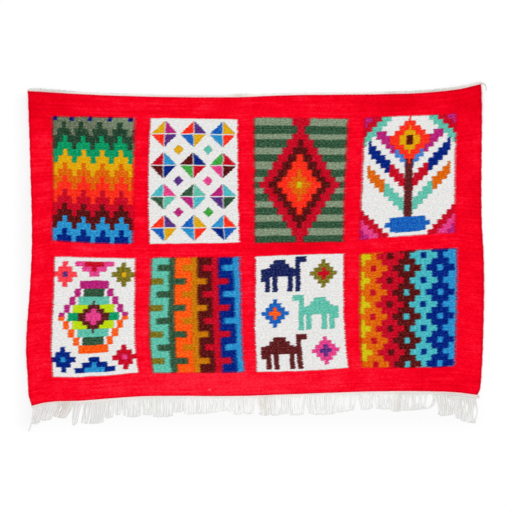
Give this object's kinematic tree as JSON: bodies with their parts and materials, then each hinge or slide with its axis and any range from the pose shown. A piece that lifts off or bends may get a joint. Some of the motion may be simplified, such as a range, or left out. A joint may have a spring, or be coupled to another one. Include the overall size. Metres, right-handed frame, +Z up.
{
  "type": "flat-woven kilim rug",
  "caption": "Flat-woven wool kilim that covers a floor: a red tapestry field with bordered pattern panels, a loose warp fringe along one end and a thin frayed heading along the other.",
  "frame": {"origin": "on the floor, under the middle of the whole rug's box, fringe included", "axes": "+X along the ends of the rug, from selvedge to selvedge; +Y along the warps, from the fringed end to the frayed end; +Z up, out of the patterned face"},
  "size_m": [1.521, 1.153, 0.0082],
  "materials": {
    "dyed_wool": "matt tapestry-woven wool, red ground with panels of many dyed colours, low ribs along the warps and uneven horizontal streaks",
    "fringe_yarn": "undyed plied warp yarn, matt, off-white",
    "heading_yarn": "undyed twined yarn with short frayed ends, matt, off-white to light grey"
  },
  "bodies": {
    "root": {"field": "dyed_wool", "fringe": "fringe_yarn", "top_edge": "heading_yarn"}
  },
  "joints": []
}
